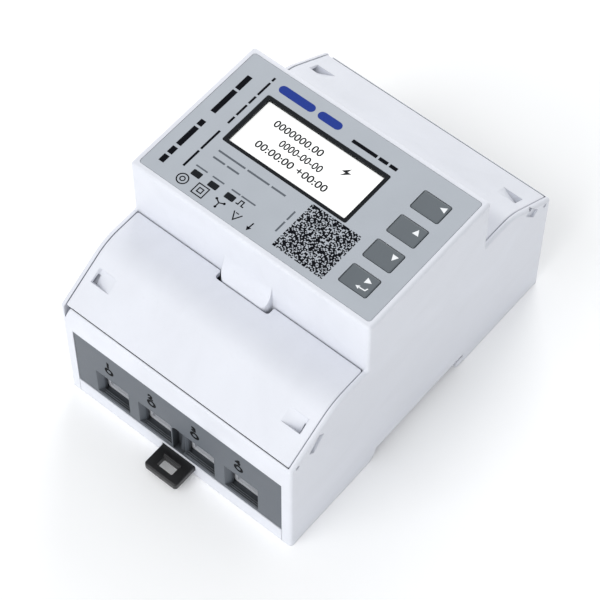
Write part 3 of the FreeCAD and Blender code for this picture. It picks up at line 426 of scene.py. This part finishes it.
MATERIALS = {
    # the factors for gaps and hollows below are painted shade, and edge factors below 1 are painted shade
    # at a part's edges
    "housing_white": moulded("housing_white", WHITE_PLASTIC, rough=0.42, crevice_shade=0.92),
    # painted shade makes the terminal block's cable openings and recesses dark
    "terminal_grey": moulded(
        "terminal_grey", (0.10, 0.114, 0.134), rough=0.5, edge_wear_and_shade=1.2, crevice_shade=0.7, hollow_shade=0.16
    ),
    "clip_black": moulded("clip_black", (0.008, 0.008, 0.009), rough=0.38, edge_wear_and_shade=3.0, crevice_shade=0.6),
    "spring_steel": metal("spring_steel", (0.55, 0.55, 0.56), rough=0.25, along=(8, 1, 8)),
    "clamp_steel": metal("clamp_steel", (0.62, 0.64, 0.68), rough=0.5, stain=0.85, sheen=0.15),
    "fastener_steel": metal("fastener_steel", (0.60, 0.60, 0.61), rough=0.32),
    "busbar_tinned": metal("busbar_tinned", (0.74, 0.73, 0.70), rough=0.35, along=(12, 1, 1)),
    "clamp_brass": metal("clamp_brass", (0.75, 0.56, 0.26), rough=0.3),
    "ct_case": moulded("ct_case", (0.03, 0.07, 0.2), rough=0.4, edge_wear_and_shade=1.5),
    "board_green": circuit_board("board_green", (0.01, 0.12, 0.045)),
    "component_black": moulded("component_black", (0.02, 0.02, 0.021), rough=0.5, edge_wear_and_shade=2.0, edge=0.1 * MM),
    "transformer_case": moulded("transformer_case", (0.04, 0.04, 0.045), rough=0.35, edge_wear_and_shade=1.8, coat=0.3),
    "capacitor_can": moulded("capacitor_can", (0.03, 0.04, 0.09), rough=0.3, edge_wear_and_shade=2.0, coat=0.4),
    "battery_can": metal("battery_can", (0.72, 0.72, 0.71), rough=0.2),
    "spacer_nylon": moulded("spacer_nylon", (0.72, 0.71, 0.66), rough=0.5),
    "label_grey": film("label_grey", (0.405, 0.437, 0.48)),
    "bezel_dark": moulded("bezel_dark", (0.005, 0.0065, 0.009), rough=0.5, edge=0.12 * MM, shine=0.12),
    "window_clear": clear_window("window_clear"),
    # painted light: the display face glows a little
    "display_face": display_face("display_face", (0.84, 0.835, 0.83), painted_glow=0.46),
    "backlight_white": display_face("backlight_white", (0.9, 0.9, 0.9), painted_glow=0.0),
    # painted shade: the key's edges are darkened to widen the dark gap round it
    "key_grey": moulded("key_grey", KEY_PLASTIC, grain=0.2 * MM, edge_wear_and_shade=0.5, edge=0.4 * MM),
    "plunger_yellow": moulded("plunger_yellow", (0.75, 0.6, 0.1), rough=0.4, edge=0.1 * MM),
    "lens_dark": moulded("lens_dark", (0.005, 0.007, 0.01), rough=0.3, edge=0.1 * MM, shine=0.15),
    "led_white": moulded("led_white", (0.8, 0.8, 0.76), rough=0.3, edge=0.1 * MM),
}
INKS = {
    "black": ink("ink_black", (0.003, 0.0035, 0.006), shine=0.04),
    "grey": ink("ink_grey", (0.10, 0.115, 0.135)),
    "blue": ink("ink_blue", (0.01, 0.035, 0.26), shine=0.15),
    "white": ink("ink_white", (0.85, 0.87, 0.89), spread=0.04),
    "digits": ink("crystal_black", (0.006, 0.007, 0.01), shine=0.04),
    "moulded": ink("moulded_mark", (0.003, 0.0035, 0.0045), rough=0.6, shine=0.05),
}


def paint_cad_nodes():
    """Gives every CAD node the material of its slot in the record."""
    for part in frame["record"]["subparts"]:
        thing = frame["nodes"][part["node"]]
        material = MATERIALS[part["material_slot"]]
        if not thing.material_slots:
            thing.data.materials.append(material)
        for holder in thing.material_slots:
            holder.material = material


# ---------------------------------------------------------------- thin marks on a surface


def circle(centre, radius, steps):
    """Places round a circle, counter-clockwise."""
    angles = [2 * math.pi * i / steps for i in range(steps)]
    return [(centre[0] + radius * math.cos(a), centre[1] + radius * math.sin(a)) for a in angles]


class Marks:
    """Collects thin raised shapes on one plane.

    Places are in millimetres, across and up from the origin.
    """

    def __init__(self, origin, across, up):
        out = across.cross(up)
        columns = (across * MM, up * MM, out, origin)
        self.plane = Matrix([[c[row] for c in columns] for row in range(3)] + [[0, 0, 0, 1]])
        self.mesh = bmesh.new()

    def point(self, spot, height):
        return self.plane @ Vector((spot[0], spot[1], height))

    def polygon(self, corners):
        """A flat prism over a convex or concave outline, given counter-clockwise."""
        base = [self.mesh.verts.new(self.point(c, -SUNK)) for c in corners]
        top = [self.mesh.verts.new(self.point(c, INK)) for c in corners]
        self.mesh.faces.new(reversed(base))
        self.mesh.faces.new(top)
        for i in range(len(corners)):
            j = (i + 1) % len(corners)
            self.mesh.faces.new((base[i], base[j], top[j], top[i]))

    def band(self, inner, outer, closed):
        """A flat strip between two lines of points that run the same way, the inner one on the left."""
        loops = []
        for spots, height in ((inner, INK), (outer, INK), (outer, -SUNK), (inner, -SUNK)):
            loops.append([self.mesh.verts.new(self.point(s, height)) for s in spots])
        count = len(inner)
        for i in range(count if closed else count - 1):
            j = (i + 1) % count
            for a, b in zip(loops, loops[1:] + loops[:1]):
                self.mesh.faces.new((a[i], b[i], b[j], a[j]))
        if not closed:
            self.mesh.faces.new([loop[0] for loop in reversed(loops)])
            self.mesh.faces.new([loop[-1] for loop in loops])

    def line(self, spots, width=LINE, closed=False):
        """A line of even width through the spots, mitred at its corners."""
        spots = [Vector(s) for s in spots]
        left, right = [], []
        for i, spot in enumerate(spots):
            ways = []
            if i or closed:
                ways.append((spot - spots[i - 1]).normalized())
            if i + 1 < len(spots) or closed:
                ways.append((spots[(i + 1) % len(spots)] - spot).normalized())
            way = sum(ways, Vector((0, 0))).normalized()
            side = Vector((-way.y, way.x))
            reach = width / 2 / max(SHARPEST, math.sqrt((1 + ways[0].dot(ways[-1])) / 2))
            left.append(spot + side * reach)
            right.append(spot - side * reach)
        self.band(left, right, closed)

    def ring(self, centre, radius, width=LINE, steps=48):
        """A circle of even width."""
        self.line(circle(centre, radius, steps), width, closed=True)

    def disc(self, centre, radius, steps=16):
        self.polygon(circle(centre, radius, steps))

    def bar(self, x0, x1, y0, y1, radius=0.0):
        """A rectangle, with rounded corners if a radius is given."""
        if radius <= 0:
            self.polygon([(x0, y0), (x1, y0), (x1, y1), (x0, y1)])
            return
        left, right, bottom, top = x0 + radius, x1 - radius, y0 + radius, y1 - radius
        corners = []
        for cx, cy, start in ((right, bottom, -90), (right, top, 0), (left, top, 90), (left, bottom, 180)):
            for i in range(CORNER_STEPS + 1):
                a = math.radians(start + 90 * i / CORNER_STEPS)
                corners.append((cx + radius * math.cos(a), cy + radius * math.sin(a)))
        self.polygon(corners)

    def figures(self, text, centre, height, width=None, weight=0.0):
        """Digits in the built-in font, centred on a spot, with their height and, if given, the width."""
        curve = bpy.data.curves.new("figures", "FONT")
        curve.body = text
        curve.offset = weight
        curve.extrude = (INK + SUNK) / 2
        curve.resolution_u = 4
        thing = put("figures", curve)
        bpy.context.view_layer.update()
        drawn = thing.evaluated_get(bpy.context.evaluated_depsgraph_get())
        shape = bpy.data.meshes.new_from_object(drawn)
        bpy.data.objects.remove(thing)
        xs, ys = [v.co.x for v in shape.vertices], [v.co.y for v in shape.vertices]
        tall = height / (max(ys) - min(ys))
        wide = tall if width is None else width / (max(xs) - min(xs))
        middle = Vector(((min(xs) + max(xs)) / 2, (min(ys) + max(ys)) / 2, 0))
        fit = Matrix.Translation((*centre, (INK - SUNK) / 2)) @ Matrix.Diagonal((wide, tall, 1, 1))
        shape.transform(self.plane @ fit @ Matrix.Translation(-middle))
        self.mesh.from_mesh(shape)

    def finish(self, name, material, body, slot):
        """Turns the collected shapes into one piece that rides on a body."""
        bmesh.ops.remove_doubles(self.mesh, verts=self.mesh.verts, dist=SAME_POINT)
        bmesh.ops.recalc_face_normals(self.mesh, faces=self.mesh.faces)
        data = bpy.data.meshes.new(name)
        self.mesh.to_mesh(data)
        self.mesh.free()
        data.materials.append(material)
        thing = put(name, data)
        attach(thing, body)


def on_top(node):
    """Marks on the upper face of a node, with the frame's own X and Y as places."""
    return Marks(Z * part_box(node)[1].z, X, Y)


# ---------------------------------------------------------------- panel


def word_bars(marks, start, lengths, thickness, gap=0.7, upright=False):
    """A row of plain bars in place of small print, from a starting spot along the row or up the panel."""
    x, y = start
    half = thickness / 2
    for length in lengths:
        if upright:
            marks.bar(x - half, x + half, y, y + length)
            y += length + gap
        else:
            marks.bar(x, x + length, y - half, y + half)
            x += length + gap


def panel_symbols():
    """The line symbols in the panel's lower left: rings, squares, star, step, triangle and arrow."""
    marks = on_top("panel_label")
    rings, squares, hub = (-23.5, -18.1), (-18.1, -18.05), (-12.55, -17.9)
    marks.ring(rings, 1.45)
    marks.ring(rings, 0.62, FINE_LINE)
    for half in (1.55, 0.62):
        left, right = squares[0] - half, squares[0] + half
        low, high = squares[1] - half, squares[1] + half
        marks.line([(left, low), (right, low), (right, high), (left, high)], FINE_LINE, closed=True)
    arm = 1.35
    for angle in (math.radians(turn) for turn in (25.0, 150.0, 270.0)):
        tip = (hub[0] + arm * math.cos(angle), hub[1] + arm * math.sin(angle))
        marks.line([hub, tip], FINE_LINE)
        marks.disc(tip, 0.34)
    low, high = -15.4, -14.1
    marks.line([(-9.6, low), (-8.9, low), (-8.9, high), (-8.0, high), (-8.0, low), (-7.3, low)], FINE_LINE)
    marks.line([(-8.3, -17.2), (-7.1, -19.4), (-5.9, -17.2)], FINE_LINE)
    marks.line([(-7.7, -17.4), (-6.8, -17.4)], 0.26)
    marks.line([(-2.6, -17.1), (-2.75, -18.7)], 0.34)
    marks.polygon([(-3.4, -18.6), (-2.8, -19.7), (-2.1, -18.6)])
    marks.finish("panel_symbols", INKS["black"], "case", "label_grey")


def panel_rows():
    """Plain bars where the panel has rows of print."""
    dark = on_top("panel_label")
    word_bars(dark, (-30.7, -17.6), (2.3, 2.3), 1.5, upright=True)
    word_bars(dark, (-30.7, -11.4), (6.6, 1.9), 1.5, upright=True)
    word_bars(dark, (-30.7, 1.0), (8.2, 4.8), 1.5, upright=True)
    word_bars(dark, (-25.8, -15.2), (5.6, 6.8), 0.6, upright=True)
    word_bars(dark, (-25.8, 0.8), (2.4, 3.8, 2.6, 4.6, 1.2), 0.6, upright=True)
    word_bars(dark, (0.0, 15.7), (7.4, 2.6, 2.2), 1.0, gap=0.6)
    dark.finish("panel_rows_dark", INKS["black"], "case", "label_grey")
    pale = on_top("panel_label")
    word_bars(pale, (-22.3, -6.6), (8.2, 6.6, 4.2), 0.5)
    word_bars(pale, (-22.1, -8.8), (3.6, 3.6), 0.5)
    for x, lengths in ((-23.6, (3.5,)), (-18.5, (3.5,)), (-12.7, (2.6, 4.2))):
        word_bars(pale, (x, -13.1), lengths, 0.4, gap=0.4)
    word_bars(pale, (2.6, -15.6), (3.4, 3.0), 0.45, upright=True)
    pale.finish("panel_rows_grey", INKS["grey"], "case", "label_grey")
    accent = on_top("panel_label")
    accent.bar(-23.2, -12.4, 15.6, 18.0, 1.2)
    accent.bar(-11.2, -4.2, 15.6, 18.0, 1.2)
    accent.finish("panel_accent", INKS["blue"], "case", "label_grey")


def pattern_block():
    """A plain scatter of small dark squares, placed by a sum, in the lower middle of the panel."""
    x0, y0, cell, count = 4.3, -18.9, 0.3, 49
    shrink = 0.005  # keeps neighbouring squares apart
    squares = on_top("panel_label")
    for row in range(count):
        for column in range(count):
            if (row ** 3 + 2 * column ** 3 + 7 * row * column + 5 * row) % 29 < 18:
                x, y = x0 + column * cell, y0 + row * cell
                squares.bar(x + shrink, x + cell - shrink, y + shrink, y + cell - shrink)
    squares.finish("pattern_squares", INKS["black"], "case", "label_grey")


def display_figures():
    """Three rows of digits and a small mark on the liquid crystal cell."""
    marks = on_top("display_cell")
    height, weight = 2.2, 0.018
    marks.figures("0000000.00", (-10.5, 8.6), height, 14.6, weight)
    marks.figures("0000-00-00", (-6.8, 4.9), height, 12.6, weight)
    marks.figures("00:00:00 +00:00", (-6.8, 1.3), height, 21.4, weight)
    bolt = [(4.9, 9.7), (3.1, 7.9), (4.2, 7.9), (3.5, 6.5), (5.6, 8.4), (4.5, 8.4)]
    marks.polygon(bolt)
    marks.finish("display_figures", INKS["digits"], "case", "display_face")


def key_marks():
    """A white arrowhead on each key, and a return arrow under the last one."""
    # across and up from the key's middle, and the way the arrowhead points
    places = ((2.7, 1.2, 185.0), (1.9, 0.9, 92.0), (2.2, 1.0, 268.0), (1.7, 1.0, 0.0))
    for number, (right, up, turn) in enumerate(places, start=1):
        low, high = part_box(f"key_{number}")
        x, y = (low.x + high.x) / 2 / MM, (low.y + high.y) / 2 / MM
        spin = Matrix.Rotation(math.radians(turn), 2)
        spots = [spin @ Vector(corner) for corner in ARROWHEAD]
        marks = on_top(f"key_{number}")
        marks.polygon([(x + right + spot.x, y + up + spot.y) for spot in spots])
        if number == 4:
            marks.line([(x + 2.85, y - 0.6), (x + 2.6, y - 1.4), (x + 0.9, y - 1.5)], FINE_LINE)
            marks.polygon([(x, y - 1.55), (x + 1.0, y - 2.05), (x + 1.0, y - 1.0)])
        marks.finish(f"key_{number}_mark", INKS["white"], f"key_{number}", "key_grey")


# ---------------------------------------------------------------- terminals


def terminal_numbers():
    """A number over a ring above each cable entry, raised from the grey moulding."""
    ring_z, number_z, aside = 16.5, 19.3, 1.1
    ring_radius, ring_width = 1.05, 0.8
    number_height, number_weight = 2.4, 0.08
    for end, sign, first in (("lower", -1, 1), ("upper", 1, 5)):
        low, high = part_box(f"{end}_terminal_block")
        marks = Marks(Y * (low.y if sign < 0 else high.y), X * -sign, Z)
        for i in range(4):
            low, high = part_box(f"{end}_screw_{i + 1}")
            x = (low.x + high.x) / 2 / MM * -sign - aside
            marks.ring((x, ring_z), ring_radius, ring_width, steps=24)
            marks.figures(str(first + i), (x - 0.2, number_z), number_height, weight=number_weight)
        marks.finish(f"{end}_terminal_numbers", INKS["moulded"], "case", "terminal_grey")


def coil_centre(turn, low, high):
    """The middle of the spring's wire after so many turns, and the way out from the spring's axis."""
    angle = 2 * math.pi * turn
    climb = min(1.0, max(0.0, (turn - END_TURNS) / (TURNS - 2 * END_TURNS)))
    first = min(turn, END_TURNS) / END_TURNS
    last = max(turn - TURNS + END_TURNS, 0.0) / END_TURNS
    length = high.y - low.y - 2 * WIRE
    y = low.y + WIRE + climb * (length - 2 * END_PITCH) + (first + last) * END_PITCH
    out = Vector((math.cos(angle), 0, math.sin(angle)))
    middle = (low + high) / 2
    radius = (high.x - low.x) / 2 - WIRE
    return Vector((middle.x, y, middle.z)) + out * radius, out


def coil_mesh(low, high):
    """A smooth round wire wound along Y between two corners of a box."""
    around, per_turn = 12, 36
    mesh = bmesh.new()
    rings = []
    for i in range(TURNS * per_turn + 1):
        centre, out = coil_centre(i / per_turn, low, high)
        ring = []
        for k in range(around):
            a = 2 * math.pi * k / around
            ring.append(mesh.verts.new(centre + out * WIRE * math.cos(a) + Y * WIRE * math.sin(a)))
        rings.append(ring)
    for a, b in zip(rings, rings[1:]):
        for k in range(around):
            mesh.faces.new((a[k], a[(k + 1) % around], b[(k + 1) % around], b[k]))
    mesh.faces.new(rings[0])
    mesh.faces.new(list(reversed(rings[-1])))
    bmesh.ops.recalc_face_normals(mesh, faces=mesh.faces)
    data = bpy.data.meshes.new("spring_coil")
    mesh.to_mesh(data)
    mesh.free()
    for face in data.polygons:
        face.use_smooth = True
    return data


def spring_coil():
    """The clip's spring as a smooth coil with closed ends, put in place of the CAD spring."""
    low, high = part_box("clip_spring")
    data = coil_mesh(low, high)
    data.materials.append(MATERIALS["spring_steel"])
    coil = put("spring_coil", data)
    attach(coil, "case")
    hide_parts("clip_spring")
    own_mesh(coil)


# ---------------------------------------------------------------- stage


def floor():
    """A wide pale floor just under the meter."""
    z = CAD_BOX[0].z - FLOOR_GAP
    data = bpy.data.meshes.new("floor")
    corners = [(x * FLOOR_HALF, y * FLOOR_HALF, z) for x, y in ((-1, -1), (1, -1), (1, 1), (-1, 1))]
    data.from_pydata(corners, [], [(0, 1, 2, 3)])
    data.materials.append(floor_material())
    put("floor", data)


def lights():
    """An even sky and three soft boxes."""
    world = bpy.data.worlds.new("studio")
    world.use_nodes = True
    sky = world.node_tree.nodes["Background"]
    sky.inputs["Color"].default_value = SKY
    sky.inputs["Strength"].default_value = SKY_STRENGTH
    bpy.context.scene.world = world
    soft_box("key_light", Vector((-0.15, -0.9, 0.95)), size=0.9, power=6.8)
    soft_box("front_light", Vector((0.1, -1.25, 0.3)), size=0.8, power=2.8)
    soft_box("back_light", Vector((-0.5, 1.05, 0.65)), size=0.7, power=6.5)


def soft_box(name, spot, size, power):
    """A square light of some size and power in metres and watts, turned to the meter."""
    data = bpy.data.lights.new(name, "AREA")
    data.shape = "SQUARE"
    data.size = size
    data.energy = power
    lamp = put(name, data)
    lamp.location = spot
    lamp.rotation_mode = "QUATERNION"
    lamp.rotation_quaternion = (Z * LIT_HEIGHT - spot).to_track_quat("-Z", "Y")


def camera():
    """The camera, turned by azimuth, elevation and a slight roll, and aimed at its target."""
    azimuth, elevation, roll = map(math.radians, (CAMERA_AZIMUTH, CAMERA_ELEVATION, CAMERA_ROLL))
    level = Vector((math.sin(azimuth), -math.cos(azimuth), 0))
    back = level * math.cos(elevation) + Z * math.sin(elevation)
    right = Vector((math.cos(azimuth), math.sin(azimuth), 0))
    up = back.cross(right)
    tilted_right = right * math.cos(roll) + up * math.sin(roll)
    tilted_up = up * math.cos(roll) - right * math.sin(roll)
    spot = CAMERA_TARGET + back * CAMERA_DISTANCE
    columns = (tilted_right, tilted_up, back, spot)
    data = bpy.data.cameras.new("camera")
    data.lens = CAMERA_LENS
    data.clip_start, data.clip_end = 0.02, 20.0
    eye = put("camera", data)
    eye.matrix_world = Matrix([[c[row] for c in columns] for row in range(3)] + [[0, 0, 0, 1]])
    bpy.context.scene.camera = eye


paint_cad_nodes()
panel_symbols()
panel_rows()
pattern_block()
display_figures()
key_marks()
terminal_numbers()
spring_coil()
floor()
lights()
camera()
bpy.context.scene.view_settings.view_transform = "Standard"

bpy.context.view_layer.update()
